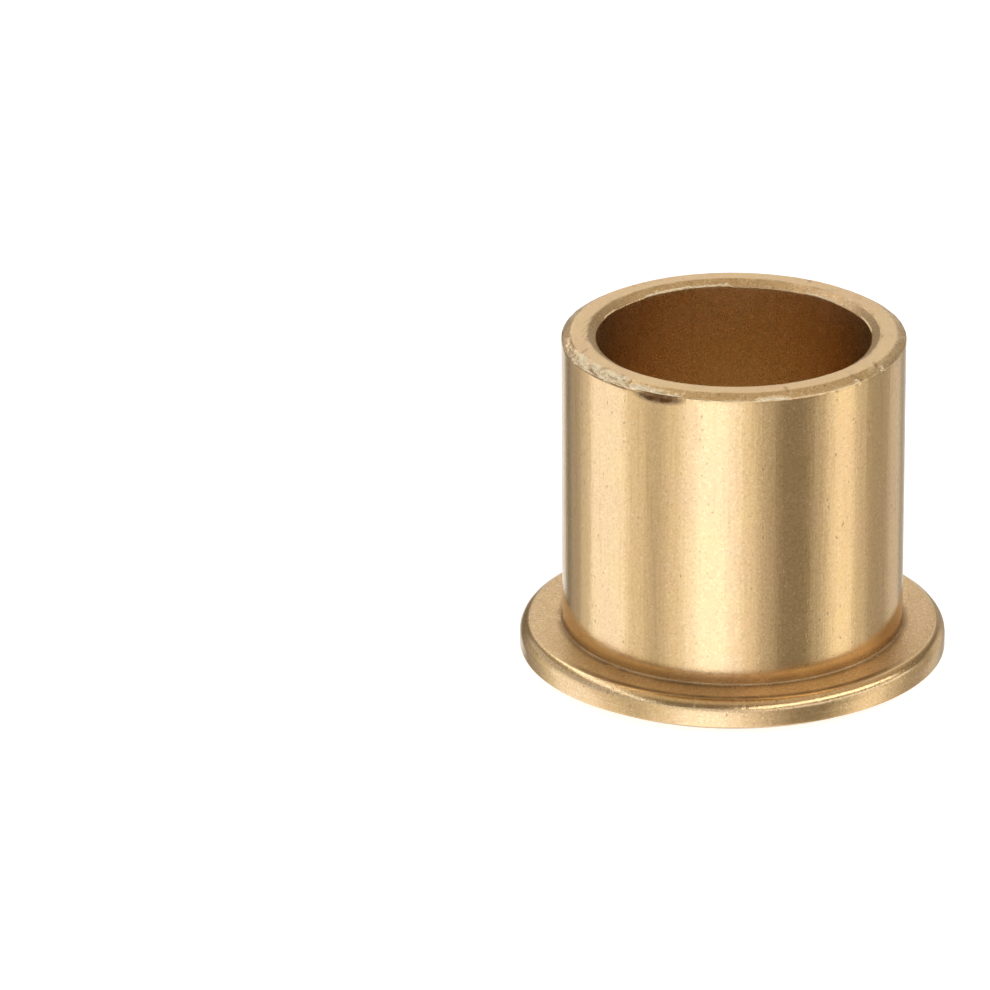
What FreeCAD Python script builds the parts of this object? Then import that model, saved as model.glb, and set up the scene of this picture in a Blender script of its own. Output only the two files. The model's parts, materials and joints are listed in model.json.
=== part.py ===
import FreeCAD, Part
import math
import os

import Sketcher

# Flanged bushing, pressed and sized from bronze powder in one piece.
#
# The origin is the centre of the flange's outer face, the one that takes a side
# load. +Z runs along the bore axis from that face to the free end of the sleeve.

# Driving dimensions in millimetres, one row of the sheet each.
SIZES = {
    "bore_diameter": 16.0,
    "wall_thickness": 2.0,
    "overall_length": 20.0,
    # The flange stands this far out from the sleeve all round.
    "flange_projection": 2.5,
    "flange_thickness": 2.0,
    # Round between the rim of the flange and its shoulder, the face towards the sleeve.
    "rim_round": 0.8,
    # Small round in the corner between shoulder and sleeve.
    "root_round": 0.12,
    # Bevel on the outside of the free end, which guides the sleeve into its housing.
    "lead_bevel_width": 0.55,
    "lead_bevel_depth": 0.30,
    # Bevel from the end face down into the bore.
    "mouth_bevel_width": 0.50,
    "mouth_bevel_depth": 0.33,
    # Bevel from the flange's outer face up into the bore.
    "face_bevel_width": 0.64,
    "face_bevel_depth": 0.47,
    # Bevel around the flange's outer face.
    "edge_bevel_width": 0.50,
    "edge_bevel_depth": 0.40,
    # Nearly flat land left by the rim of the punch, between that bevel and the rim.
    "punch_land_width": 0.38,
    "punch_land_drop": 0.06,
}

# Point positions on a sketch curve, and the sketch's own axes.
START = 1
END = 2
ORIGIN = -1
HORIZONTAL_AXIS = -1

FULL_TURN = 360
QUARTER_TURN = math.pi / 2


def make_sheet(doc):
    """Spreadsheet with one named cell for each driving dimension."""
    sheet = doc.addObject("Spreadsheet::Sheet", "sizes")
    for row, (alias, value) in enumerate(SIZES.items(), start=1):
        sheet.set(f"A{row}", alias)
        sheet.set(f"B{row}", str(value))
        sheet.setAlias(f"B{row}", alias)
    doc.recompute()
    return sheet


def origin_plane(body, role):
    """One of the body's own origin planes, found by its role."""
    for feature in body.Origin.OriginFeatures:
        if feature.Role == role:
            return feature
    raise RuntimeError(f"no origin plane {role}")


def section_corners(sheet):
    """Corners of the half section as (radius, height), around from the thrust face."""
    bore = sheet.bore_diameter / 2
    sleeve = bore + sheet.wall_thickness
    flange = sleeve + sheet.flange_projection
    top = sheet.overall_length
    shoulder = sheet.flange_thickness
    land = flange - sheet.punch_land_width
    edge_height = sheet.edge_bevel_depth + sheet.punch_land_drop
    return [
        (bore + sheet.face_bevel_width, 0),
        (land - sheet.edge_bevel_width, 0),
        (land, sheet.edge_bevel_depth),
        (flange, edge_height),
        (flange, shoulder - sheet.rim_round),
        (flange - sheet.rim_round, shoulder),
        (sleeve + sheet.root_round, shoulder),
        (sleeve, shoulder + sheet.root_round),
        (sleeve, top - sheet.lead_bevel_depth),
        (sleeve - sheet.lead_bevel_width, top),
        (bore + sheet.mouth_bevel_width, top),
        (bore, top - sheet.mouth_bevel_depth),
        (bore, sheet.face_bevel_depth),
    ]


def line(start, end):
    return Part.LineSegment(FreeCAD.Vector(*start, 0), FreeCAD.Vector(*end, 0))


def quarter_arc(centre, radius, turns):
    """Quarter circle that starts at so many quarter turns from the sketch's +X."""
    circle = Part.Circle(FreeCAD.Vector(*centre, 0), FreeCAD.Vector(0, 0, 1), radius)
    start = turns * QUARTER_TURN
    return Part.ArcOfCircle(circle, start, start + QUARTER_TURN)


def draw_half_section(sketch, sheet):
    """Closed outline of the wall on one side of the axis, fully constrained."""
    (face_in, face_out, land_in, land_out, rim_top, shoulder_out, shoulder_in,
     wall_foot, wall_top, end_out, end_in, bore_top, bore_foot) = section_corners(sheet)

    def add(curve):
        return sketch.addGeometry(curve, False)

    thrust_face = add(line(face_in, face_out))
    edge_bevel = add(line(face_out, land_in))
    punch_land = add(line(land_in, land_out))
    rim = add(line(land_out, rim_top))
    rim_arc = add(quarter_arc((shoulder_out[0], rim_top[1]), sheet.rim_round, 0))
    shoulder = add(line(shoulder_out, shoulder_in))
    root_arc = add(quarter_arc((shoulder_in[0], wall_foot[1]), sheet.root_round, 2))
    sleeve_wall = add(line(wall_foot, wall_top))
    lead_bevel = add(line(wall_top, end_out))
    end_face = add(line(end_out, end_in))
    mouth_bevel = add(line(end_in, bore_top))
    bore_wall = add(line(bore_top, bore_foot))
    face_bevel = add(line(bore_foot, face_in))

    def constrain(*terms):
        return sketch.addConstraint(Sketcher.Constraint(*terms))

    for one, after in (
        (thrust_face, edge_bevel), (edge_bevel, punch_land), (punch_land, rim),
        (sleeve_wall, lead_bevel), (lead_bevel, end_face), (end_face, mouth_bevel),
        (mouth_bevel, bore_wall), (bore_wall, face_bevel), (face_bevel, thrust_face),
    ):
        constrain("Coincident", one, END, after, START)
    constrain("Tangent", rim, END, rim_arc, START)
    constrain("Tangent", rim_arc, END, shoulder, START)
    constrain("Tangent", shoulder, END, root_arc, END)
    constrain("Tangent", root_arc, START, sleeve_wall, START)
    for level in (thrust_face, shoulder, end_face):
        constrain("Horizontal", level)
    for upright in (rim, sleeve_wall, bore_wall):
        constrain("Vertical", upright)
    constrain("PointOnObject", thrust_face, START, HORIZONTAL_AXIS)

    def dimension(name, expression, *terms):
        """Named dimension of the sketch that follows the sheet."""
        index = constrain(*terms, sketch.evalExpression(expression))
        sketch.renameConstraint(index, name)
        sketch.setExpression(f"Constraints.{name}", expression)

    dimension("bore_radius", "sizes.bore_diameter / 2",
              "DistanceX", ORIGIN, START, bore_wall, START)
    for alias, *terms in (
        ("wall_thickness", "DistanceX", bore_wall, START, sleeve_wall, START),
        ("flange_projection", "DistanceX", sleeve_wall, START, rim, START),
        ("overall_length", "DistanceY", ORIGIN, START, end_face, START),
        ("flange_thickness", "DistanceY", ORIGIN, START, shoulder, START),
        ("rim_round", "Radius", rim_arc),
        ("root_round", "Radius", root_arc),
        ("lead_bevel_width", "DistanceX", lead_bevel, END, lead_bevel, START),
        ("lead_bevel_depth", "DistanceY", lead_bevel, START, lead_bevel, END),
        ("mouth_bevel_width", "DistanceX", mouth_bevel, END, mouth_bevel, START),
        ("mouth_bevel_depth", "DistanceY", mouth_bevel, END, mouth_bevel, START),
        ("face_bevel_width", "DistanceX", face_bevel, START, face_bevel, END),
        ("face_bevel_depth", "DistanceY", face_bevel, END, face_bevel, START),
        ("edge_bevel_width", "DistanceX", edge_bevel, START, edge_bevel, END),
        ("edge_bevel_depth", "DistanceY", edge_bevel, START, edge_bevel, END),
        ("punch_land_width", "DistanceX", punch_land, START, punch_land, END),
        ("punch_land_drop", "DistanceY", punch_land, START, punch_land, END),
    ):
        dimension(alias, f"sizes.{alias}", *terms)


def make_bushing(doc, sheet):
    """Whole bushing: the half section swept once around the bore axis."""
    body = doc.addObject("PartDesign::Body", "bushing")
    body.Label = "flanged_bushing"
    section = body.newObject("Sketcher::SketchObject", "half_section")
    section.AttachmentSupport = (origin_plane(body, "XZ_Plane"), [""])
    section.MapMode = "FlatFace"
    doc.recompute()
    draw_half_section(section, sheet)
    doc.recompute()

    form = body.newObject("PartDesign::Revolution", "pressed_form")
    form.Profile = section
    form.ReferenceAxis = (section, ["V_Axis"])
    form.Angle = FULL_TURN
    section.Visibility = False
    body.Tip = form
    body.Placement = FreeCAD.Placement()
    doc.recompute()
    return body


def check(doc, bodies):
    """Stop if a feature failed or a body has no sound solid."""
    for item in doc.Objects:
        if "Invalid" in item.State or "Error" in item.State:
            raise RuntimeError(f"{item.Name} failed: {item.State}")
    for body in bodies:
        if body.Shape.isNull() or not body.Shape.isValid() or len(body.Shape.Solids) != 1:
            raise RuntimeError(f"{body.Label} is not one sound solid")


doc = FreeCAD.newDocument("flanged_bushing")
sizes = make_sheet(doc)
bushing = make_bushing(doc, sizes)
check(doc, [bushing])

os.makedirs("parts", exist_ok=True)
bushing.Shape.exportStep(f"parts/{bushing.Label}.step")
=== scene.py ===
import json
import math

import bmesh
import bpy
from mathutils import Matrix, Vector, noise


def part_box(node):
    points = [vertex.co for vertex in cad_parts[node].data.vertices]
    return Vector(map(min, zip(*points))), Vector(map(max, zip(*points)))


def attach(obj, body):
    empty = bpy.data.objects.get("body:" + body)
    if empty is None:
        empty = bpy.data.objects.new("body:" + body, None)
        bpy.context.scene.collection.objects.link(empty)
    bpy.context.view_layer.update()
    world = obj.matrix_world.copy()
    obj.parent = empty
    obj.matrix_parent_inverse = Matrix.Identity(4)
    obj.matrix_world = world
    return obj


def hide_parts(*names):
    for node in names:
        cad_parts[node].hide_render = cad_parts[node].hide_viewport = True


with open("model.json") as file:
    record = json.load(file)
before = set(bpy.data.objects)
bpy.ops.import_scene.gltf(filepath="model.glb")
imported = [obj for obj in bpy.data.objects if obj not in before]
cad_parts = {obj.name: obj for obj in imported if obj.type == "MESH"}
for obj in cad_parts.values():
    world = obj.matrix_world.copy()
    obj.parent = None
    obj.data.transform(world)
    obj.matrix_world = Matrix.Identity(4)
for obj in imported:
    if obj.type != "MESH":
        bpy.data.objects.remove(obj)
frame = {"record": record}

bl_info = {
    "name": "Flanged Bushing",
    "version": (1, 0, 0),
    "blender": (4, 5, 0),
    "location": "3D View > Sidebar > Bushing",
    "description": "Sintered bronze flanged bushing with its pressed edges, burrs and finish",
    "category": "Object",
}

# The origin is the centre of the flange's outer face, and +Z runs up the bore axis
# to the free end of the sleeve. Angles round the bushing are counted from -Y, the
# side that faces the camera, and grow towards +X.

MM = 0.001
QUARTER_TURN = math.radians(90)
NODE = "flanged_bushing"
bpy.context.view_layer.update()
MOUNTS = {mount["name"]: mount for mount in frame["record"]["mounts"]}


def mount_radius(name):
    return MOUNTS[name]["dims"]["r_mm"] * MM


def length_property(name, description, default):
    """Adjustable length in metres."""
    return bpy.props.FloatProperty(
        name=name, description=description, default=default, min=0.0,
        precision=5, unit="LENGTH", subtype="DISTANCE")


def angle_property(name, description, degrees):
    """Adjustable angle."""
    return bpy.props.FloatProperty(
        name=name, description=description, default=math.radians(degrees), subtype="ANGLE")


def level_property(name, description, default):
    """Adjustable plain number that can't go below nought."""
    return bpy.props.FloatProperty(name=name, description=description, default=default, min=0.0)


def colour_property(name, description, default):
    """Adjustable linear colour."""
    return bpy.props.FloatVectorProperty(
        name=name, description=description, default=default, size=3, min=0.0, max=1.0,
        subtype="COLOR")


class BushingSizes(bpy.types.PropertyGroup):
    """Sizes of the pressed form and of the damage on its edges."""

    bore_radius: length_property(
        "Bore radius", "Radius of the through bore", mount_radius("bore"))
    sleeve_radius: length_property(
        "Sleeve radius", "Outer radius of the sleeve", mount_radius("sleeve"))
    flange_radius: length_property(
        "Flange radius", "Outer radius of the flange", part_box(NODE)[1].x)
    overall_length: length_property(
        "Overall length", "From the thrust face to the end face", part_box(NODE)[1].z)
    flange_thickness: length_property(
        "Flange thickness", "From the thrust face to the shoulder",
        MOUNTS["shoulder"]["pos_m"][2])
    rim_round: length_property("Rim round", "Round between rim and shoulder", 0.8 * MM)
    root_round: length_property("Root round", "Round between shoulder and sleeve", 0.12 * MM)
    lead_bevel_width: length_property("Lead bevel width", "Outside of the free end", 0.55 * MM)
    lead_bevel_depth: length_property("Lead bevel depth", "Outside of the free end", 0.30 * MM)
    mouth_bevel_width: length_property("Mouth bevel width", "Inside of the free end", 0.50 * MM)
    mouth_bevel_depth: length_property("Mouth bevel depth", "Inside of the free end", 0.33 * MM)
    face_bevel_width: length_property("Face bevel width", "Thrust face into the bore", 0.64 * MM)
    face_bevel_depth: length_property("Face bevel depth", "Thrust face into the bore", 0.47 * MM)
    edge_bevel_width: length_property("Edge bevel width", "Around the thrust face", 0.50 * MM)
    edge_bevel_depth: length_property("Edge bevel depth", "Around the thrust face", 0.40 * MM)
    punch_land_width: length_property(
        "Punch land width", "From the edge bevel to the rim", 0.38 * MM)
    punch_land_drop: length_property("Punch land drop", "Height that the land gains", 0.06 * MM)
    edge_ease: length_property("Edge ease", "Small round on each pressed corner", 0.05 * MM)
    burr_height: length_property("Burr height", "How far the torn lead edge stands out", 0.15 * MM)
    gouge_depth: length_property("Gouge depth", "Deepest place of the torn-out scar", 0.30 * MM)


class BushingFinish(bpy.types.PropertyGroup):
    """Colours of the bronze."""

    golden: colour_property("Golden bronze", "Yellower patches", (0.80, 0.566, 0.280))
    rosy: colour_property("Rosy bronze", "Redder patches", (0.80, 0.552, 0.290))
    # Colour of torn and rubbed metal, also used for painted glints on single grains and painted
    # highlights on torn crests.
    fresh_and_glint: colour_property("Fresh bronze", "Torn and rubbed metal", (1.0, 0.87, 0.61))
    # Also the colour of the painted shade in creases and corners and of the painted dark reflection
    # lines.
    soiled: colour_property("Soiled bronze", "Oil and dirt in the pores", (0.22, 0.12, 0.05))


class BushingStudio(bpy.types.PropertyGroup):
    """Camera and light."""

    camera_distance: length_property("Camera distance", "From the middle of the bushing", 0.465)
    camera_height: length_property("Aim height", "Height that the camera is turned about", 0.010)
    camera_elevation: angle_property("Camera elevation", "Above the floor", 22.8)
    camera_pan: angle_property("Camera pan", "Turn that sets the bushing off centre", 1.7135)
    camera_tilt: angle_property("Camera tilt", "Small tilt", -0.0412)
    camera_roll: angle_property("Camera roll", "Small roll", 0.318)
    lens: level_property("Lens", "Focal length in millimetres", 289.2)
    world_level: level_property("World level", "Soft light from all round", 0.21)
    overhead_level: level_property("Overhead level", "Soft light from above", 0.62)
    floor_fill: level_property("Floor fill", "Light that the camera sees in the floor", 0.70)
    seat_fill: level_property("Seat fill", "Light that the bore sees in the floor below it", 0.28)
    room: colour_property("Room", "Colour of the light from all round", (1.0, 0.86, 0.68))


# Spacing of the rings of vertices along the section.
FINE_RINGS = 0.06 * MM
MIDDLING_RINGS = 0.18 * MM
WIDE_RINGS = 0.36 * MM
SPARSE_RINGS = 2.2 * MM
# Belts of closer rings at both ends of the sleeve's wall and at the top of the bore's.
FOOT_BELT = 0.80 * MM
LEAD_BELT = 0.75 * MM
MOUTH_BELT = 0.40 * MM


def section_points(sizes):
    """Corners of the wall as (radius, height, round, ring spacing up to the next corner)."""
    bore = sizes.bore_radius
    sleeve = sizes.sleeve_radius
    flange = sizes.flange_radius
    top = sizes.overall_length
    shoulder = sizes.flange_thickness
    ease = sizes.edge_ease
    land = flange - sizes.punch_land_width
    rim_foot = sizes.edge_bevel_depth + sizes.punch_land_drop
    lead_foot = top - sizes.lead_bevel_depth
    mouth_foot = top - sizes.mouth_bevel_depth
    return [
        (bore + sizes.face_bevel_width, 0, ease, WIDE_RINGS),
        (land - sizes.edge_bevel_width, 0, ease, MIDDLING_RINGS),
        (land, sizes.edge_bevel_depth, ease, MIDDLING_RINGS),
        (flange, rim_foot, ease, MIDDLING_RINGS),
        (flange, shoulder, sizes.rim_round, WIDE_RINGS),
        (sleeve, shoulder, sizes.root_round, MIDDLING_RINGS),
        (sleeve, shoulder + FOOT_BELT, 0, SPARSE_RINGS),
        (sleeve, lead_foot - LEAD_BELT, 0, FINE_RINGS),
        (sleeve, lead_foot, ease / 2, FINE_RINGS),
        (sleeve - sizes.lead_bevel_width, top, ease, 2 * FINE_RINGS),
        (bore + sizes.mouth_bevel_width, top, ease, FINE_RINGS),
        (bore, mouth_foot, ease, MIDDLING_RINGS),
        (bore, mouth_foot - MOUTH_BELT, 0, SPARSE_RINGS),
        (bore, sizes.face_bevel_depth, ease, MIDDLING_RINGS),
    ]


# The section is spun into one of these sectors in so many steps.
SECTORS = 8
SECTOR_STEPS = 90
# Turn of the outline between two points of a round, and the fewest steps of a round.
ROUND_STEP = math.radians(14)
FEWEST_STEPS = 2
# Vertices at a seam between sectors lie closer together than this.
SEAM = MM / 1000


def draw_section(bm, points):
    """Closed outline of the wall in the XZ plane, eased at its corners and cut into rings."""
    corners = [bm.verts.new((radius, 0, height)) for radius, height, _, _ in points]
    straights = []
    for i, (corner, point) in enumerate(zip(corners, points)):
        after = (i + 1) % len(corners)
        bm.edges.new((corner, corners[after]))
        along = (corners[after].co - corner.co).normalized()
        start = corner.co + along * point[2]
        end = corners[after].co - along * points[after][2]
        straights.append(((start + end) / 2, point[3]))
    for corner, (_, _, rounding, _) in zip(corners, points):
        if rounding:
            ends = [edge.other_vert(corner).co - corner.co for edge in corner.link_edges]
            turn = math.pi - ends[0].angle(ends[1])
            steps = max(FEWEST_STEPS, round(turn / ROUND_STEP))
            bmesh.ops.bevel(
                bm, geom=[corner], offset=rounding, offset_type="OFFSET",
                profile_type="SUPERELLIPSE", segments=steps, profile=0.5,
                affect="VERTICES", material=-1, clamp_overlap=False)
    for middle, spacing in straights:
        edge = min(bm.edges, key=lambda item: (edge_middle(item) - middle).length)
        cuts = math.ceil(edge.calc_length() / spacing) - 1
        if cuts > 0:
            bmesh.ops.subdivide_edges(bm, edges=[edge], cuts=cuts)


def edge_middle(edge):
    return (edge.verts[0].co + edge.verts[1].co) / 2


def turn_round(bm):
    """Spins the section into one sector, repeats the sector and joins the seams."""
    centre = {"cent": (0, 0, 0), "axis": (0, 0, 1)}
    sector = math.tau / SECTORS
    bmesh.ops.spin(
        bm, geom=bm.verts[:] + bm.edges[:], angle=sector, steps=SECTOR_STEPS, **centre)
    bmesh.ops.spin(
        bm, geom=bm.verts[:] + bm.edges[:] + bm.faces[:], angle=math.tau - sector,
        steps=SECTORS - 1, use_duplicate=True, **centre)
    bmesh.ops.remove_doubles(bm, verts=bm.verts[:], dist=SEAM)
    bmesh.ops.recalc_face_normals(bm, faces=bm.faces[:])


def in_fixed_order(bm):
    """The same mesh again. Spinning leaves its faces in an order that no two runs share."""
    bm.verts.index_update()
    faces = []
    for face in bm.faces:
        numbers = [vert.index for vert in face.verts]
        start = numbers.index(min(numbers))
        faces.append(numbers[start:] + numbers[:start])
    ordered = bmesh.new()
    verts = [ordered.verts.new(vert.co) for vert in bm.verts]
    for numbers in sorted(faces):
        ordered.faces.new([verts[number] for number in numbers])
    bm.free()
    return ordered


def clamp(value, top=1):
    """Value kept between nought and a top."""
    return min(max(value, 0), top)


def fade(value, start, end, soft):
    """1 from start to end, with a smooth fall to nought over soft on both sides."""
    inside = clamp(min(value - start, end - value) / soft + 1)
    return inside * inside * (3 - 2 * inside)


# How much each octave of the noise falls, and how much finer it is than the last.
OCTAVE_FALL = 0.9
OCTAVE_STEP = 2.1


def lumps(point, per_mm, octaves=3):
    """Rough noise of about -1 to 1, the same at the same place."""
    return noise.fractal(point * (per_mm / MM), OCTAVE_FALL, OCTAVE_STEP, octaves)


class Place:
    """One vertex of the bushing, by its angle, radius and height."""

    def __init__(self, point):
        self.point = point.copy()
        self.azimuth = math.degrees(math.atan2(point.x, -point.y))
        self.radius = point.xy.length
        self.height = point.z
        self.out = 0.0
        self.up = 0.0
        self.torn = 0.0
        self.soiled = 0.0

    def darken(self, near, level, uneven, per_mm, octaves=3):
        """Darkening of some level, dirt at some places and painted shade at others, uneven by so
        many lumps to the millimetre.
        """
        darkening = near * (level + uneven * lumps(self.point, per_mm, octaves))
        self.soiled = max(self.soiled, darkening)


# Lengths of the lead edge that are torn and rolled over: from, to, how much, and over
# which share of the bevel's width.
TORN_LEAD = (
    (-84, -71, 0.35, 0.8), (-67, -39, 1.0, 1.15), (-38, -20, 0.8, 0.6), (-14, 31, 0.35, 0.12),
    (9, 17, 0.8, 0.35), (36, 42, 0.4, 0.2), (45, 46, 0.7, 0.35), (58.5, 59.5, 0.7, 0.6),
)
# A tear fades out at its ends over this many degrees at most.
TEAR_FADE = 4
# Elsewhere the edge is only worn a little, over this share of the bevel.
WORN_WIDTH = 1.1
# No tear goes past this share of the bevel, and its inner border is this soft.
TEAR_LIMIT = 1.7
TEAR_BORDER = 0.15
# Creases to the millimetre in the torn metal.
COARSE_CREASES = 2.6
FINE_CREASES = 8.0
# The torn metal hangs this far down over the wall. A painted shadow lies in a line below it,
# between two depths under the foot of the bevel, and ends within the last of these.
OVERHANG = 0.06 * MM
SHADOW_TOP = 0.05 * MM
SHADOW_BOTTOM = 0.12 * MM
SHADOW_SOFT = 0.10 * MM
SHADOW_REACH = 0.45 * MM


def crumple(place, per_mm):
    """Rough noise drawn out along the edge, as in rolled metal."""
    arc = math.radians(place.azimuth) * place.radius
    return lumps(Vector((arc / 2, place.radius, place.height)), per_mm)


def tear_at(place):
    """How much the lead edge is torn beside a place, and over which share of the bevel."""
    amount, width = 0.10 + 0.12 * lumps(place.point, 0.5), WORN_WIDTH
    for start, end, much, wide in TORN_LEAD:
        here = fade(place.azimuth, start, end, min(TEAR_FADE, (1 + end - start) / 2))
        if here * much > amount:
            amount, width = here * much, wide * (0.4 + 0.6 * here)
    return amount, width


def tear_lead_edge(place, sizes):
    """Crumpled metal rolled out over the sleeve along the lead bevel, with painted shade in its
    creases and a painted shadow below.
    """
    foot = sizes.overall_length - sizes.lead_bevel_depth
    across = (sizes.sleeve_radius - place.radius) / sizes.lead_bevel_width
    if place.height < foot - SHADOW_REACH or across > TEAR_LIMIT:
        return
    amount, width = tear_at(place)
    coarse = crumple(place, COARSE_CREASES)
    if place.height > foot - OVERHANG:
        fine = crumple(place, FINE_CREASES)
        ragged = clamp((width * (1 + 0.35 * coarse) - across) / TEAR_BORDER)
        across = max(across, 0)
        crown = max(0, 4 * across * (1 - across))
        edge = max(0, 1 - across)
        spread = min(1, 2 * edge + crown)
        reach = sizes.burr_height * amount * ragged
        place.out += reach * (crown + 0.35 * edge + (0.7 * coarse + 0.5 * fine) * spread)
        place.up += reach * (0.25 + 0.5 * fine + 0.6 * coarse) * crown
        place.torn = clamp(amount * (0.85 + 0.9 * coarse + 0.4 * fine)) * ragged
        # Painted shade in the creases of the crumpled metal.
        place.soiled = amount * ragged * clamp(-1.4 * coarse - 0.6 * fine - 0.45, 0.6)
    else:
        depth = fade(place.height, foot - SHADOW_BOTTOM, foot - SHADOW_TOP, SHADOW_SOFT)
        place.out -= sizes.burr_height / 4 * amount * depth
        # Painted shadow in a line under the rolled lip.
        place.soiled = amount * min(width, 1) * depth * (0.9 + 0.4 * coarse)


# The scar below the lead edge, in degrees.
GOUGE_AZIMUTH = -25.5
GOUGE_HALF_WIDTH = 9.5
# How far it goes down from the foot of the bevel, how ragged its lower end is, and over
# which length it runs out there. Its painted shade starts lower and runs out faster.
GOUGE_REACH = 0.24 * MM
GOUGE_RAGGED = 0.03 * MM
GOUGE_SLOPE = 0.34 * MM
SHADE_LOWER = 0.14 * MM
SHADE_SLOPE = 0.26 * MM
# Part of the wall that it can touch: down from the foot, up from it, and in from the wall.
GOUGE_BELOW = 0.8 * MM
GOUGE_ABOVE = 0.02 * MM
GOUGE_INSIDE = 0.2 * MM


def gouge_wall(place, sizes):
    """Place below the lead edge where metal broke out, with painted shade in its hollow and below
    it.
    """
    foot = sizes.overall_length - sizes.lead_bevel_depth
    side = (place.azimuth - GOUGE_AZIMUTH) / GOUGE_HALF_WIDTH
    if abs(side) > 1 or place.radius < sizes.sleeve_radius - GOUGE_INSIDE:
        return
    if place.height > foot + GOUGE_ABOVE or place.height < foot - GOUGE_BELOW:
        return
    taper = 1 - side * side
    low = foot - GOUGE_REACH * taper - GOUGE_RAGGED * lumps(place.point, 2.5)
    hollow = fade(place.height, low, sizes.overall_length, GOUGE_SLOPE) * taper
    scar_shade = fade(place.height, low - SHADE_LOWER, sizes.overall_length, SHADE_SLOPE) * taper
    place.out -= sizes.gouge_depth * hollow * (0.9 + 0.2 * lumps(place.point, 2.5, 2))
    # Painted shade in the hollow of the scar and a little below it.
    place.darken(scar_shade, 1.3, 0.3, 3.0, 2)


# Fine cuts across the end face: azimuth, inner radius, outer radius in millimetres, lean.
LAND_CUTS = ((-72, 8.80, 9.40, 6), (-51, 9.15, 9.5, -4), (-43, 9.2, 9.5, 3), (19, 8.9, 9.6, 0),
             (45, 9.3, 10, 4), (60, 9.2, 10, -3), (-97, 8.45, 8.8, 22), (-91, 8.45, 8.8, 20),
             (-86, 8.4, 8.75, 22), (-104, 8.5, 8.8, 18), (-8, 8.2, 8.5, 5), (83, 8.3, 8.7, 9),
             (150, 9.0, 9.6, 5), (-140, 9.2, 9.7, -6))
# Half the width of a cut in degrees, its depth, and how much darker it is painted.
CUT_HALF_WIDTH = 0.9
CUT_DEPTH = 0.03 * MM
CUT_DARKNESS = 0.5


def cut_land(place, sizes):
    """Fine cuts across the pressed end face."""
    if place.height < sizes.overall_length - sizes.mouth_bevel_depth:
        return
    radius = place.radius / MM
    for azimuth, inner, outer, lean in LAND_CUTS:
        off = abs(place.azimuth - azimuth - lean * (radius - inner)) / CUT_HALF_WIDTH
        if inner < radius < outer and off < 1:
            place.up -= CUT_DEPTH * (1 - off)
            # The cut is painted darker.
            place.soiled = max(place.soiled, CUT_DARKNESS * (1 - off))


# Lengths of the bore's upper edge that carry a ragged burr: from, to, how much.
TORN_MOUTH = ((-177, -141, 1.0), (134, 147, 0.7), (98, 112, 0.4), (-120, -112, 0.4))
# Degrees over which the burr fades out at its ends.
LIP_FADE = 3
# Band round the edge that the burr can touch: down from the edge and out from the bore.
LIP_BELOW = 0.02 * MM
LIP_OUTSIDE = 0.3 * MM
# Height of the lip and how far it leans in, each with how uneven it is.
LIP_HEIGHT = (0.10 * MM, 0.06 * MM)
LIP_LEAN = (0.02 * MM, 0.03 * MM)


def raise_mouth_burr(place, sizes):
    """Bright ragged lip where the edge of the bore was rolled flat."""
    edge = sizes.overall_length - sizes.mouth_bevel_depth
    if place.height < edge - LIP_BELOW or place.radius > sizes.bore_radius + LIP_OUTSIDE:
        return
    amount = max(
        fade(place.azimuth, start, end, LIP_FADE) * much for start, end, much in TORN_MOUTH)
    rough = lumps(place.point, 3.4)
    lift = edge + amount * (LIP_HEIGHT[0] + LIP_HEIGHT[1] * rough) - place.height
    if lift > 0:
        place.up += lift
        place.out -= amount * (LIP_LEAN[0] + LIP_LEAN[1] * lumps(place.point, 5.0, 2))
        place.torn = max(place.torn, amount * (1.2 + 0.4 * rough))


# Nicks across the top of the rim: azimuth, how much.
RIM_NICKS = ((-10, 0.6), (1.4, 0.25), (3.5, 0.35), (24, 0.3), (-128, 0.6), (151, 0.5))
# Half the width of a nick in degrees, its depth, how bright it is, and how far down the
# rim it goes, as a share of the flange's thickness.
NICK_HALF_WIDTH = 0.5
NICK_DEPTH = 0.03 * MM
NICK_SHINE = 0.7
NICK_FOOT = 0.8


def nick_rim(place, sizes):
    """Small nicks across the top of the rim."""
    if place.radius < sizes.flange_radius - sizes.rim_round:
        return
    if place.height < NICK_FOOT * sizes.flange_thickness:
        return
    for azimuth, much in RIM_NICKS:
        near = 1 - abs(place.azimuth - azimuth) / NICK_HALF_WIDTH
        if near > 0:
            place.out -= NICK_DEPTH * much * near
            place.up -= NICK_DEPTH * much * near
            place.torn = max(place.torn, NICK_SHINE * much * near)


# The painted dark reflection line at the brink of the shoulder, on its front: where it starts and
# ends from the brink, how soft it is, and its azimuths from, to and fading over.
BRINK_LINE = (-0.10 * MM, 0.06 * MM, 0.14 * MM)
BRINK_AZIMUTHS = (-38, 40, 25)
# Half the width of the dirty line on the end face round the mouth bevel.
MOUTH_LINE = 0.05 * MM


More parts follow.
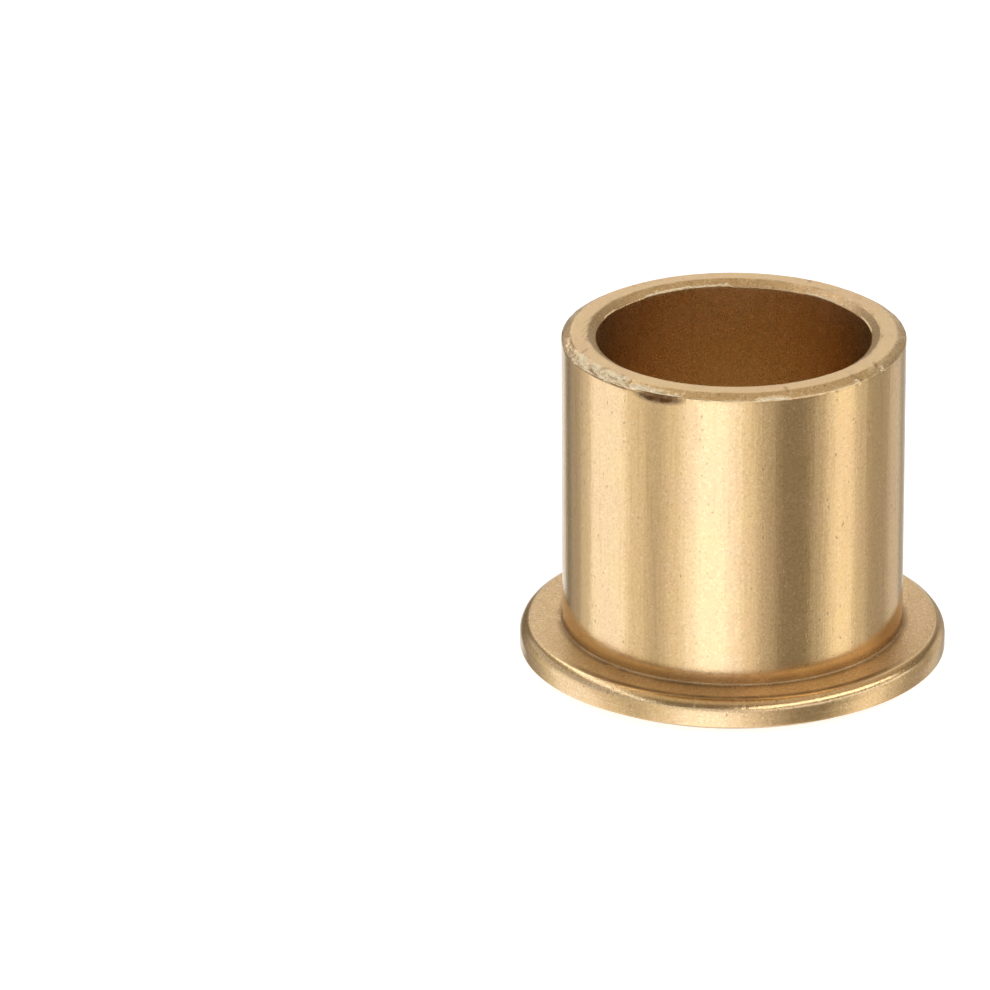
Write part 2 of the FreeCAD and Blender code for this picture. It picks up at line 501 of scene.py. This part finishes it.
def darken_corners_and_mouth(place, sizes):
    """Painted shade in the root corner and up the foot of the sleeve, a painted dark reflection
    along the front of the shoulder's brink, and dirt round the mouth.
    """
    above = place.height - sizes.flange_thickness
    outside = place.radius - sizes.sleeve_radius
    root = sizes.root_round
    # Painted shade in the root corner, and a painted dark band up the foot of the sleeve.
    if outside < root:
        if 0 <= above < 0.9 * root:
            place.darken(1, 0.50, 0.20, 0.5)
        elif 0 < above < 8 * root:
            place.darken(fade(above, 0, 3 * root, 2 * root), 0.55, 0.15, 0.6)
    # Painted dark reflection line along the front of the shoulder's brink.
    brink = place.radius - sizes.flange_radius + sizes.rim_round
    if above > -0.1 * sizes.rim_round and brink > -0.5 * sizes.rim_round:
        near = fade(brink, *BRINK_LINE) * fade(place.azimuth, *BRINK_AZIMUTHS)
        place.darken(near, 0.82, 0.25, 0.8)
    mouth = place.radius - sizes.bore_radius - sizes.mouth_bevel_width
    if place.height > sizes.overall_length - MOUTH_LINE and abs(mouth) < MOUTH_LINE:
        place.darken(1, 0.15, 0.30, 1.2)


# Waviness as (height, waves in the noise round the bushing), of the free end and of the
# flange, and how far out and up the flange's starts.
END_WAVES = ((0.012 * MM, 9), (0.010 * MM, 38))
FLANGE_WAVE = (0.006 * MM, 7)
FLANGE_WAVE_START = 0.3 * MM


def wander(place, sizes):
    """Slight waviness of the pressed edges and faces."""
    turn = math.radians(place.azimuth)
    along = Vector((math.sin(turn), math.cos(turn), 0))
    if place.height > sizes.overall_length - 1.5 * sizes.lead_bevel_depth:
        for height, waves in END_WAVES:
            place.out += height * noise.noise(along * waves)
    outside = place.radius - sizes.sleeve_radius
    if outside > FLANGE_WAVE_START and place.height > FLANGE_WAVE_START:
        height, waves = FLANGE_WAVE
        place.up += height * noise.noise(along * waves)


WEAR = (tear_lead_edge, gouge_wall, cut_land, raise_mouth_burr, nick_rim, darken_corners_and_mouth, wander)


def wear_edges(bm, sizes):
    """Moves the vertices of the pressed edges and marks what is torn, and the dirt and painted
    shade.
    """
    torn = bm.verts.layers.float.new("torn")
    soiled = bm.verts.layers.float.new("soiled")
    for vert in bm.verts:
        place = Place(vert.co)
        for change in WEAR:
            change(place, sizes)
        if place.out or place.up:
            radius = min(place.radius + place.out, sizes.flange_radius)
            vert.co.xy *= radius / place.radius
            vert.co.z = clamp(place.height + place.up, sizes.overall_length)
        vert[torn] = clamp(place.torn)
        vert[soiled] = clamp(place.soiled)


# The finishes of the bushing, in the order of its material slots.
SIZED_WALL, RIM, PRESSED_FACE, SHOULDER, RAW_EDGE, BORE_WALL = range(6)
# How near to a wall or a face a point lies on it.
HAIR = 0.01 * MM
# Shares of the rim's round that have the finish of the rim and of the shoulder.
RIM_SHARE = 0.72
SHOULDER_SHARE = 0.1


def finish_at(point, sizes):
    """Which finish a face has, by where it lies on the section."""
    radius = point.xy.length
    height = point.z
    if radius < sizes.bore_radius + HAIR:
        return BORE_WALL
    rim_start = sizes.flange_radius - RIM_SHARE * sizes.rim_round
    if radius > rim_start and height > sizes.edge_bevel_depth:
        return RIM
    lead_foot = sizes.overall_length - sizes.lead_bevel_depth
    wall = abs(radius - sizes.sleeve_radius) < HAIR
    if wall and sizes.flange_thickness + sizes.root_round < height < lead_foot:
        return SIZED_WALL
    if height > sizes.overall_length - HAIR or height < HAIR:
        return PRESSED_FACE
    level = abs(height - sizes.flange_thickness) < SHOULDER_SHARE * sizes.rim_round
    if level and radius > sizes.sleeve_radius + HAIR:
        return SHOULDER
    return RAW_EDGE


class BUSHING_OT_press_body(bpy.types.Operator):
    """Makes the bushing itself: sleeve, flange, bore, edges and their damage"""

    bl_idname = "bushing.press_body"
    bl_label = "Press Bushing Body"

    def execute(self, context):
        sizes = context.scene.bushing_sizes
        finish = context.scene.bushing_finish
        bm = bmesh.new()
        draw_section(bm, section_points(sizes))
        turn_round(bm)
        bm = in_fixed_order(bm)
        for face in bm.faces:
            face.smooth = True
            face.material_index = finish_at(face.calc_center_median(), sizes)
        wear_edges(bm, sizes)
        mesh = bpy.data.meshes.new("bushing")
        bm.to_mesh(mesh)
        bm.free()
        for name, look in LOOKS.items():
            mesh.materials.append(bronze_material(name, look, finish))
        piece = bpy.data.objects.new("bushing", mesh)
        context.scene.collection.objects.link(piece)
        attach(piece, "root")
        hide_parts(NODE)
        return {"FINISHED"}


def add_node(tree, kind, **settings):
    """New shader node with some of its settings."""
    node = tree.nodes.new(kind)
    for name, value in settings.items():
        setattr(node, name, value)
    return node


def maths(tree, operation, first, second, clamped=False):
    """Math node on two values, each a socket or a number."""
    node = add_node(tree, "ShaderNodeMath", operation=operation, use_clamp=clamped)
    for socket, value in zip(node.inputs, (first, second)):
        if isinstance(value, bpy.types.NodeSocket):
            tree.links.new(value, socket)
        else:
            socket.default_value = value
    return node.outputs[0]


def ramp(tree, value, low, high, to_low=0.0, to_high=1.0):
    """Smooth change from one level to another as a value goes from low to high."""
    node = add_node(tree, "ShaderNodeMapRange", interpolation_type="SMOOTHSTEP")
    tree.links.new(value, node.inputs["Value"])
    ends = {"From Min": low, "From Max": high, "To Min": to_low, "To Max": to_high}
    for name, number in ends.items():
        node.inputs[name].default_value = number
    return node.outputs["Result"]


def mix_colour(tree, amount, first, second):
    """Colour between two, each a socket or a colour."""
    node = add_node(tree, "ShaderNodeMix", data_type="RGBA")
    tree.links.new(amount, node.inputs["Factor"])
    sockets = [socket for socket in node.inputs if socket.type == "RGBA"]
    for socket, value in zip(sockets, (first, second)):
        if isinstance(value, bpy.types.NodeSocket):
            tree.links.new(value, socket)
        else:
            socket.default_value = (*value, 1)
    return [socket for socket in node.outputs if socket.type == "RGBA"][0]


def new_group(name, inputs, outputs):
    """Empty shader node group with float sockets, and a vector input called Vector."""
    group = bpy.data.node_groups.new(name, "ShaderNodeTree")
    group.interface.new_socket("Vector", in_out="INPUT", socket_type="NodeSocketVector")
    for label, value in inputs.items():
        socket = group.interface.new_socket(label, in_out="INPUT", socket_type="NodeSocketFloat")
        socket.default_value = value
    for label in outputs:
        group.interface.new_socket(label, in_out="OUTPUT", socket_type="NodeSocketFloat")
    return group, group.nodes.new("NodeGroupInput"), group.nodes.new("NodeGroupOutput")


def texture(tree, kind, vector, scale, **values):
    """Noise or Voronoi texture on a vector, at so many features to the millimetre."""
    node = add_node(tree, kind)
    tree.links.new(vector, node.inputs["Vector"])
    if isinstance(scale, bpy.types.NodeSocket):
        tree.links.new(scale, node.inputs["Scale"])
    else:
        node.inputs["Scale"].default_value = scale
    for name, value in values.items():
        node.inputs[name].default_value = value
    return node


# Cells of the grain for each feature of its noise, and how much their height differs.
GRAIN_CELLS = 1.35
GRAIN_STEP = 0.35


def powder_grain_group():
    """Grains of pressed powder: a height, and a fleck that differs from grain to grain."""
    group, given, result = new_group("powder_grain", {"Scale": 8.0}, ("Height", "Fleck"))
    vector, scale = given.outputs["Vector"], given.outputs["Scale"]
    soft = texture(group, "ShaderNodeTexNoise", vector, scale, Detail=3.0, Roughness=0.65)
    cell_scale = maths(group, "MULTIPLY", scale, GRAIN_CELLS)
    grains = texture(group, "ShaderNodeTexVoronoi", vector, cell_scale)
    split = add_node(group, "ShaderNodeSeparateColor")
    group.links.new(grains.outputs["Color"], split.inputs["Color"])
    part = maths(group, "MULTIPLY", split.outputs["Red"], GRAIN_STEP)
    group.links.new(maths(group, "ADD", soft.outputs[0], part), result.inputs["Height"])
    group.links.new(split.outputs["Green"], result.inputs["Fleck"])
    return group


# Creases to the millimetre in the outline of a pore, and how far it strays, in millimetres.
PORE_CREASES = 5.0
PORE_STRAY = (0.2, 0.2, 0.2)
# Squeeze of the axis that draws the pores out along it, and the steepness of their walls.
PORE_SQUEEZE = (1.0, 1.0, 0.45)
PORE_STEEPNESS = 18.0


def pores_group():
    """Open pores: ragged dark pits drawn out along the axis, of which only a share shows."""
    group, given, result = new_group("pores", {"Scale": 1.6, "Share": 0.3, "Size": 0.2}, ("Mask",))
    vector = given.outputs["Vector"]
    bend = texture(group, "ShaderNodeTexNoise", vector, PORE_CREASES, Detail=2.0)
    shift = add_node(group, "ShaderNodeVectorMath", operation="MULTIPLY_ADD")
    shift.inputs[1].default_value = PORE_STRAY
    group.links.new(bend.outputs["Color"], shift.inputs[0])
    group.links.new(vector, shift.inputs[2])
    drawn_out = add_node(group, "ShaderNodeVectorMath", operation="MULTIPLY")
    drawn_out.inputs[1].default_value = PORE_SQUEEZE
    group.links.new(shift.outputs[0], drawn_out.inputs[0])
    cells = texture(group, "ShaderNodeTexVoronoi", drawn_out.outputs[0], given.outputs["Scale"])
    split = add_node(group, "ShaderNodeSeparateColor")
    group.links.new(cells.outputs["Color"], split.inputs["Color"])
    chosen = maths(group, "LESS_THAN", split.outputs["Red"], given.outputs["Share"])
    size = maths(group, "MULTIPLY", given.outputs["Size"], split.outputs["Green"])
    edge = maths(group, "SUBTRACT", size, cells.outputs["Distance"])
    depth = maths(group, "MULTIPLY", edge, PORE_STEEPNESS, clamped=True)
    group.links.new(maths(group, "MULTIPLY", chosen, depth), result.inputs["Mask"])
    return group


def die_marks_group():
    """Faint marks left by the tools, drawn out along the axis or round it."""
    group, given, result = new_group(
        "die_marks", {"Round": 3.0, "Along": 0.15}, ("Height", "Streak"))
    squash = add_node(group, "ShaderNodeVectorMath", operation="MULTIPLY")
    stretch = add_node(group, "ShaderNodeCombineXYZ")
    for axis, label in (("X", "Round"), ("Y", "Round"), ("Z", "Along")):
        group.links.new(given.outputs[label], stretch.inputs[axis])
    group.links.new(given.outputs["Vector"], squash.inputs[0])
    group.links.new(stretch.outputs[0], squash.inputs[1])
    marks = texture(group, "ShaderNodeTexNoise", squash.outputs[0], 1.0, Detail=4.0, Roughness=0.62)
    streak = ramp(group, marks.outputs[0], low=0.52, high=0.70)
    group.links.new(marks.outputs[0], result.inputs["Height"])
    group.links.new(streak, result.inputs["Streak"])
    return group


def clouds_group():
    """Large soft patches where the colour of the bronze shifts."""
    group, given, result = new_group("clouds", {"Scale": 0.3}, ("Mask",))
    cloud = texture(group, "ShaderNodeTexNoise", given.outputs["Vector"], given.outputs["Scale"],
                    Detail=3.0, Roughness=0.55, Distortion=0.4)
    mask = ramp(group, cloud.outputs[0], low=0.36, high=0.64)
    group.links.new(mask, result.inputs["Mask"])
    return group


GROUP_MAKERS = {
    "powder_grain": powder_grain_group,
    "pores": pores_group,
    "die_marks": die_marks_group,
    "clouds": clouds_group,
}


def place_group(tree, name, vector, **values):
    """Shared node group in a material, with that material's own values."""
    node = add_node(tree, "ShaderNodeGroup")
    node.node_tree = bpy.data.node_groups.get(name) or GROUP_MAKERS[name]()
    tree.links.new(vector, node.inputs["Vector"])
    for label, value in values.items():
        node.inputs[label.capitalize()].default_value = value
    return node.outputs


class Look:
    """How one finish of the bronze differs from the others."""

    def __init__(self, roughness, tone, grain, grain_depth, fleck, pores, marks, mark_depth):
        self.roughness = roughness
        self.tone = tone
        self.grain = grain
        self.grain_depth = grain_depth
        self.fleck = fleck
        self.pores = pores
        self.marks = marks
        self.mark_depth = mark_depth


# Grain is in grains to the millimetre, depths in millimetres, marks in marks to the
# millimetre round the axis and along it.
LOOKS = {
    "sized_wall": Look(0.12, 1.0, 6.0, 0.0040, 0.16, 0.90, (3.2, 0.13), 0.0060),
    "rim": Look(0.17, 0.98, 6.5, 0.0036, 0.20, 0.50, (0.12, 9.0), 0.0060),
    "pressed_face": Look(0.36, 0.90, 11.0, 0.0050, 0.20, 0.30, (1.0, 1.0), 0.0),
    "shoulder": Look(0.42, 0.90, 9.0, 0.0100, 0.40, 0.60, (1.0, 1.0), 0.0),
    "raw_edge": Look(0.30, 0.94, 8.0, 0.0120, 0.42, 0.35, (1.0, 1.0), 0.0),
    "bore_wall": Look(0.22, 1.0, 8.5, 0.0060, 0.35, 0.12, (3.0, 0.2), 0.0030),
}
# Patches and pores to the millimetre, and the size and depth of a pore in millimetres.
CLOUD_SCALE = 0.30
PORE_SCALE = 3.4
PORE_SIZE = 0.22
PORE_DEPTH = 0.004
# Share of a look's pores that shows between the patches, and how dark a pore is.
LEAST_PORES = 0.3
PORE_DIRT = 0.45
# How dark the streaks of the die marks are.
STREAK_DIRT = 0.13
# What uneven grain, patches, the marks of dirt and painted shade, and torn metal add to the
# roughness.
GRAIN_ROUGHNESS = 0.06
CLOUD_ROUGHNESS = 0.03
DIRT_ROUGHNESS = 0.18
# How much deeper the grain is where the metal is torn.
TORN_GRAIN = 4.2


class Effects:
    """Sockets of the shared effects in one material, and of the marks in its mesh."""

    def __init__(self, tree, look):
        where = add_node(tree, "ShaderNodeTexCoord")
        to_mm = add_node(tree, "ShaderNodeVectorMath", operation="SCALE")
        to_mm.inputs["Scale"].default_value = 1 / MM
        tree.links.new(where.outputs["Object"], to_mm.inputs[0])
        vector = to_mm.outputs[0]
        self.torn = add_node(tree, "ShaderNodeAttribute", attribute_name="torn").outputs["Fac"]
        soiled = add_node(tree, "ShaderNodeAttribute", attribute_name="soiled").outputs["Fac"]
        self.grain = place_group(tree, "powder_grain", vector, scale=look.grain)
        self.marks = place_group(
            tree, "die_marks", vector, round=look.marks[0], along=look.marks[1])
        self.clouds = place_group(tree, "clouds", vector, scale=CLOUD_SCALE)["Mask"]
        self.pores = place_group(tree, "pores", vector, scale=PORE_SCALE, size=PORE_SIZE)["Mask"]
        share = multiply_add(tree, self.clouds, look.pores, LEAST_PORES * look.pores)
        tree.links.new(share, self.pores.node.inputs["Share"])
        in_pores = maths(tree, "MULTIPLY", self.pores, PORE_DIRT)
        # Dark pores, and the mesh's marks of dirt and painted shade.
        self.darkening = maths(tree, "MAXIMUM", in_pores, soiled)


def bronze_material(name, look, finish):
    """Bronze with grain, pores, die marks, patches, torn metal, dirt, and painted shade, glints and
    highlights.
    """
    material = bpy.data.materials.new(name)
    material.use_nodes = True
    tree = material.node_tree
    shader = tree.nodes["Principled BSDF"]
    shader.inputs["Metallic"].default_value = 1
    effects = Effects(tree, look)
    tree.links.new(bronze_colour(tree, effects, look, finish), shader.inputs["Base Color"])
    tree.links.new(bronze_roughness(tree, effects, look), shader.inputs["Roughness"])
    tree.links.new(bronze_normal(tree, effects, look), shader.inputs["Normal"])
    return material


def bronze_colour(tree, effects, look, finish):
    """Patches of two colours, with pale grains that are partly painted glints, dark grains, darker
    hollows, streaks, torn metal with a painted highlight on its crests and painted shade in its
    troughs, and dirt and painted shade.
    """
    fleck, height = effects.grain["Fleck"], effects.grain["Height"]
    golden, rosy = shade(finish.golden, look.tone), shade(finish.rosy, look.tone)
    colour = mix_colour(tree, effects.clouds, golden, rosy)
    # Pale grains, partly the grain's own colour and partly painted glints.
    pale_grain_and_glint = ramp(tree, fleck, low=0.80, high=0.95, to_high=look.fleck)
    colour = mix_colour(tree, pale_grain_and_glint, colour, finish.fresh_and_glint)
    dark_grain = ramp(tree, fleck, low=0.25, high=0.0, to_high=0.7 * look.fleck)
    colour = mix_colour(tree, dark_grain, colour, finish.soiled)
    hollow = ramp(tree, height, low=0.62, high=0.38, to_high=0.6 * look.fleck)
    colour = mix_colour(tree, hollow, colour, finish.soiled)
    streak = maths(tree, "MULTIPLY", effects.marks["Streak"], STREAK_DIRT)
    colour = mix_colour(tree, streak, colour, finish.soiled)
    # Fresh metal on the crests of torn metal, partly a painted highlight.
    crest = ramp(tree, height, low=0.50, high=0.68, to_low=0.62)
    colour = mix_colour(tree, maths(tree, "MULTIPLY", effects.torn, crest), colour, finish.fresh_and_glint)
    # Painted shade in the troughs of torn metal.
    trough = ramp(tree, height, low=0.58, high=0.42, to_high=0.25)
    colour = mix_colour(tree, maths(tree, "MULTIPLY", effects.torn, trough), colour, finish.soiled)
    # Dark pores and the marks of dirt and painted shade.
    return mix_colour(tree, effects.darkening, colour, finish.soiled)


def bronze_roughness(tree, effects, look):
    """Roughness of the look, uneven with the grain, the patches, torn metal, and the marks of dirt
    and painted shade.
    """
    uneven = multiply_add(tree, effects.grain["Height"], GRAIN_ROUGHNESS, look.roughness)
    uneven = multiply_add(tree, effects.clouds, CLOUD_ROUGHNESS, uneven)
    matt = maths(tree, "MAXIMUM", effects.darkening, effects.torn)
    return multiply_add(tree, matt, DIRT_ROUGHNESS, uneven)


def bronze_normal(tree, effects, look):
    """Bumps of the die marks, the grain and the pores, one on top of the other."""
    normal = bump(tree, effects.marks["Height"], look.mark_depth, None)
    deeper = multiply_add(tree, effects.torn, TORN_GRAIN, 1.0)
    grain = maths(tree, "MULTIPLY", effects.grain["Height"], deeper)
    normal = bump(tree, grain, look.grain_depth, normal)
    return bump(tree, maths(tree, "SUBTRACT", 1.0, effects.pores), PORE_DEPTH, normal)


def multiply_add(tree, value, factor, offset):
    """A value times a factor, plus a socket or a number."""
    node = add_node(tree, "ShaderNodeMath", operation="MULTIPLY_ADD")
    tree.links.new(value, node.inputs[0])
    node.inputs[1].default_value = factor
    if isinstance(offset, bpy.types.NodeSocket):
        tree.links.new(offset, node.inputs[2])
    else:
        node.inputs[2].default_value = offset
    return node.outputs[0]


def bump(tree, height, depth, normal):
    """Bump node with a depth in millimetres, on top of the bumps before it."""
    node = add_node(tree, "ShaderNodeBump")
    node.inputs["Distance"].default_value = depth * MM
    tree.links.new(height, node.inputs["Height"])
    if normal:
        tree.links.new(normal, node.inputs["Normal"])
    return node.outputs[0]


def shade(colour, tone):
    """Colour made darker or lighter."""
    return tuple(part * tone for part in colour)


class BUSHING_OT_set_stage(bpy.types.Operator):
    """Sets the floor, the lamps, the world and the camera"""

    bl_idname = "bushing.set_stage"
    bl_label = "Set Stage"

    def execute(self, context):
        studio = context.scene.bushing_studio
        lay_floor(context, studio)
        light_world(context, studio)
        hang_softboxes(context, studio)
        set_camera(context, studio)
        context.scene.view_settings.view_transform = "Standard"
        return {"FINISHED"}


class Softbox:
    """Soft lamp panel that faces the bushing, placed by the angles that it covers."""

    def __init__(self, name, azimuth, width, elevation, height, level, tint):
        self.name = name
        self.azimuth = math.radians(azimuth)
        self.width = math.radians(width)
        self.elevation = math.radians(elevation)
        self.height = math.radians(height)
        self.level = level
        self.tint = tint


COOL, PLAIN = (0.92, 1.0, 1.18), (1.0, 1.0, 1.0)
# Low panels, which reach from below the level of the tabletop to a little above it:
# from and to which azimuth, level, tint.
LOW_PANELS = (
    (-140, -122, 0.24, PLAIN), (-122, -108, 0.53, PLAIN), (-108, -78, 1.12, COOL),
    (-78, -62, 0.68, PLAIN), (-62, -44, 0.44, PLAIN), (-44, -32, 0.72, PLAIN),
    (-32, -22, 1.10, COOL), (-22, -6, 1.42, COOL), (-6, 5, 1.14, COOL), (5, 16, 0.76, PLAIN),
    (16, 28, 0.36, PLAIN), (28, 54, 0.07, PLAIN), (54, 65, 0.36, PLAIN), (65, 73, 0.76, PLAIN),
    (73, 87, 1.02, PLAIN), (87, 100, 0.50, PLAIN), (100, 126, 0.24, PLAIN), (128, 148, 0.50, PLAIN),
    (148, 168, 0.20, PLAIN),
)
SOFTBOXES = [
    Softbox(f"low_{start}", (start + end) / 2, end - start, -12, 54, level, tint)
    for start, end, level, tint in LOW_PANELS
] + [
    Softbox("upper_left", -90, 100, 28, 26, 0.40, COOL),
    Softbox("upper_front", -12, 56, 23, 9, 0.95, COOL),
    Softbox("upper_right", 62, 90, 22, 9, 1.5, COOL),
    Softbox("high_right", 58, 78, 47, 11, 3.0, PLAIN),
    Softbox("high_left", -110, 100, 53, 6, 2.4, COOL),
]
SOFTBOX_DISTANCE = 0.5


def bearing(azimuth, elevation):
    """Direction at an azimuth and an elevation in degrees."""
    turn, lift = math.radians(azimuth), math.radians(elevation)
    return math.sin(turn) * math.cos(lift), -math.cos(turn) * math.cos(lift), math.sin(lift)


def hang_softboxes(context, studio):
    """Lamp panels round the bushing, which the camera doesn't see."""
    middle = Vector((0, 0, studio.camera_height))
    for box in SOFTBOXES:
        lamp = bpy.data.lights.new(box.name, "AREA")
        lamp.shape = "RECTANGLE"
        lamp.size = 2 * SOFTBOX_DISTANCE * math.tan(box.width / 2)
        lamp.size_y = 2 * SOFTBOX_DISTANCE * math.tan(box.height / 2)
        lamp.energy = box.level * math.pi * lamp.size * lamp.size_y
        lamp.color = box.tint
        holder = bpy.data.objects.new(box.name, lamp)
        holder.matrix_world = (
            Matrix.Translation(middle)
            @ Matrix.Rotation(box.azimuth, 4, "Z")
            @ Matrix.Rotation(QUARTER_TURN - box.elevation, 4, "X")
            @ Matrix.Translation((0, 0, SOFTBOX_DISTANCE)))
        holder.visible_camera = False
        context.scene.collection.objects.link(holder)


DISC_SEGMENTS = 96
# The floor's disc, and how far the seat stays in from the rim. Both lie just below the
# bushing, the seat above the floor.
FLOOR_RADIUS = 1.5
FLOOR_DEPTH = 0.03 * MM
SEAT_INSET = MM
SEAT_DEPTH = 0.02 * MM


def lay_disc(context, name, radius, depth, material):
    """Disc of the stage that faces up, at a depth below the bushing."""
    bm = bmesh.new()
    bmesh.ops.create_circle(bm, cap_ends=True, segments=DISC_SEGMENTS, radius=radius)
    bmesh.ops.translate(bm, verts=bm.verts[:], vec=(0, 0, -depth))
    mesh = bpy.data.meshes.new(name)
    bm.to_mesh(mesh)
    bm.free()
    mesh.materials.append(material)
    disc = bpy.data.objects.new(name, mesh)
    context.scene.collection.objects.link(disc)
    return disc


def lay_floor(context, studio):
    """Pale tabletop. The metal and the lamps see only the part under the bushing."""
    material = tabletop(studio)
    seat_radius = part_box(NODE)[1].x - SEAT_INSET
    lay_disc(context, "seat", seat_radius, SEAT_DEPTH, material)
    floor = lay_disc(context, "floor", FLOOR_RADIUS, FLOOR_DEPTH, material)
    floor.visible_glossy = False
    floor.visible_shadow = False


TABLETOP = (0.8, 0.8, 0.8, 1)
TABLETOP_GLOW = (0.92, 0.96, 1, 1)


def tabletop(studio):
    """White to the camera, with the shadow that the lamps leave in it."""
    material = bpy.data.materials.new("tabletop")
    material.use_nodes = True
    tree = material.node_tree
    tree.nodes.clear()
    rays = add_node(tree, "ShaderNodeLightPath").outputs
    matt = add_node(tree, "ShaderNodeBsdfDiffuse")
    matt.inputs["Color"].default_value = TABLETOP
    glow = add_node(tree, "ShaderNodeEmission")
    glow.inputs["Color"].default_value = TABLETOP_GLOW
    both = add_node(tree, "ShaderNodeAddShader")
    output = add_node(tree, "ShaderNodeOutputMaterial")
    seen = maths(tree, "ADD", rays["Is Camera Ray"], rays["Is Transmission Ray"], clamped=True)
    metal = maths(tree, "MULTIPLY", rays["Is Glossy Ray"], studio.seat_fill)
    tree.links.new(multiply_add(tree, seen, studio.floor_fill, metal), glow.inputs["Strength"])
    tree.links.new(matt.outputs[0], both.inputs[0])
    tree.links.new(glow.outputs[0], both.inputs[1])
    tree.links.new(both.outputs[0], output.inputs["Surface"])
    return material


# White parts of the backdrop that the metal sees: azimuth, elevation, outer and inner reach.
BACKDROP = ((180, 34, 27, 14), (180, 5, 16, 9), (-173, -26, 23, 10), (0, -90, 60, 45))
WHITE = (1.0, 1.0, 1.0)
# Soft light from above, placed the same way.
OVERHEAD = (180, 72, 50, 20)


def sky_patch(tree, way, azimuth, elevation, outer, inner):
    """1 near one direction of the world, falling to nought away from it."""
    aim = add_node(tree, "ShaderNodeVectorMath", operation="DOT_PRODUCT")
    aim.inputs[1].default_value = bearing(azimuth, elevation)
    tree.links.new(way, aim.inputs[0])
    low, high = math.cos(math.radians(outer)), math.cos(math.radians(inner))
    return ramp(tree, aim.outputs["Value"], low, high)


def light_world(context, studio):
    """White to the camera. The metal sees that white behind and below the bushing."""
    world = bpy.data.worlds.new("studio")
    world.use_nodes = True
    tree = world.node_tree
    tree.nodes.clear()
    rays = add_node(tree, "ShaderNodeLightPath").outputs
    way = add_node(tree, "ShaderNodeTexCoord").outputs["Generated"]
    around = shade(studio.room, studio.world_level)
    overhead = shade(studio.room, studio.overhead_level)
    room = mix_colour(tree, sky_patch(tree, way, *OVERHEAD), around, overhead)
    white = sky_patch(tree, way, *BACKDROP[0])
    for part in BACKDROP[1:]:
        white = maths(tree, "MAXIMUM", white, sky_patch(tree, way, *part))
    metal = maths(tree, "MULTIPLY", white, rays["Is Glossy Ray"])
    seen = maths(tree, "ADD", rays["Is Camera Ray"], rays["Is Transmission Ray"], clamped=True)
    colour = mix_colour(tree, maths(tree, "MAXIMUM", seen, metal), room, WHITE)
    sky = add_node(tree, "ShaderNodeBackground")
    output = add_node(tree, "ShaderNodeOutputWorld")
    tree.links.new(colour, sky.inputs["Color"])
    tree.links.new(sky.outputs[0], output.inputs["Surface"])
    context.scene.world = world


# Width of the camera's sensor in millimetres, and the nearest thing that it sees.
SENSOR_WIDTH = 36
CLIP_START = 0.01


def set_camera(context, studio):
    """Camera in front of the bushing, turned a little so that it stands right of the middle."""
    camera = bpy.data.objects.new("camera", bpy.data.cameras.new("camera"))
    camera.data.lens = studio.lens
    camera.data.sensor_width = SENSOR_WIDTH
    camera.data.clip_start = CLIP_START
    away = Vector((0, -math.cos(studio.camera_elevation), math.sin(studio.camera_elevation)))
    place = Vector((0, 0, studio.camera_height)) + away * studio.camera_distance
    camera.matrix_world = (
        Matrix.Translation(place)
        @ Matrix.Rotation(QUARTER_TURN - studio.camera_elevation, 4, "X")
        @ Matrix.Rotation(studio.camera_pan, 4, "Y")
        @ Matrix.Rotation(studio.camera_tilt, 4, "X")
        @ Matrix.Rotation(studio.camera_roll, 4, "Z"))
    context.scene.collection.objects.link(camera)
    context.scene.camera = camera


class BUSHING_PT_sidebar(bpy.types.Panel):
    """Lists the settings and the steps"""

    bl_idname = "BUSHING_PT_sidebar"
    bl_label = "Flanged Bushing"
    bl_space_type = "VIEW_3D"
    bl_region_type = "UI"
    bl_category = "Bushing"

    def draw(self, context):
        for name, group in SETTINGS.items():
            settings = self.layout.box()
            settings.label(text=group.__doc__)
            for setting in group.__annotations__:
                settings.prop(getattr(context.scene, name), setting)
        for operator in OPERATORS:
            self.layout.operator(operator.bl_idname)


SETTINGS = {
    "bushing_sizes": BushingSizes,
    "bushing_finish": BushingFinish,
    "bushing_studio": BushingStudio,
}
OPERATORS = (BUSHING_OT_press_body, BUSHING_OT_set_stage)
CLASSES = (*SETTINGS.values(), *OPERATORS, BUSHING_PT_sidebar)


def register():
    for item in CLASSES:
        bpy.utils.register_class(item)
    for name, group in SETTINGS.items():
        setattr(bpy.types.Scene, name, bpy.props.PointerProperty(type=group))


def unregister():
    for name in SETTINGS:
        delattr(bpy.types.Scene, name)
    for item in reversed(CLASSES):
        bpy.utils.unregister_class(item)


def main():
    """Builds the bushing and its stage."""
    register()
    bpy.ops.bushing.press_body()
    bpy.ops.bushing.set_stage()


if __name__ == "__main__":
    main()
